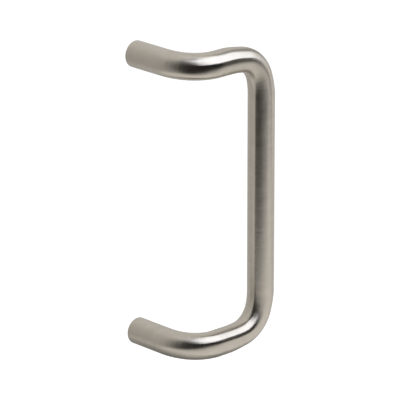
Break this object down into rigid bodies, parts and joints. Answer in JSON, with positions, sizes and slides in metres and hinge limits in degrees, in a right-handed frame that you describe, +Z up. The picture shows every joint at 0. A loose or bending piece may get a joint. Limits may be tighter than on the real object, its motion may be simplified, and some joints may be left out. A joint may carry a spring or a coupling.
{
  "type": "door pull",
  "caption": "Offset door pull of solid round bar, bent in both planes at each end, with a tapped foot for through-fixing at top and bottom.",
  "frame": {"origin": "on the door's face, midway between the two fixing holes", "axes": "+Z up along the grip, +Y into the door, so the pull stands off towards -Y and its arms run sideways to +X"},
  "size_m": [0.0845, 0.0671, 0.2222],
  "materials": {
    "satin_steel": "satin stainless steel, its fine grain running around the bar"
  },
  "bodies": {
    "root": {"pull": "satin_steel"}
  },
  "joints": []
}
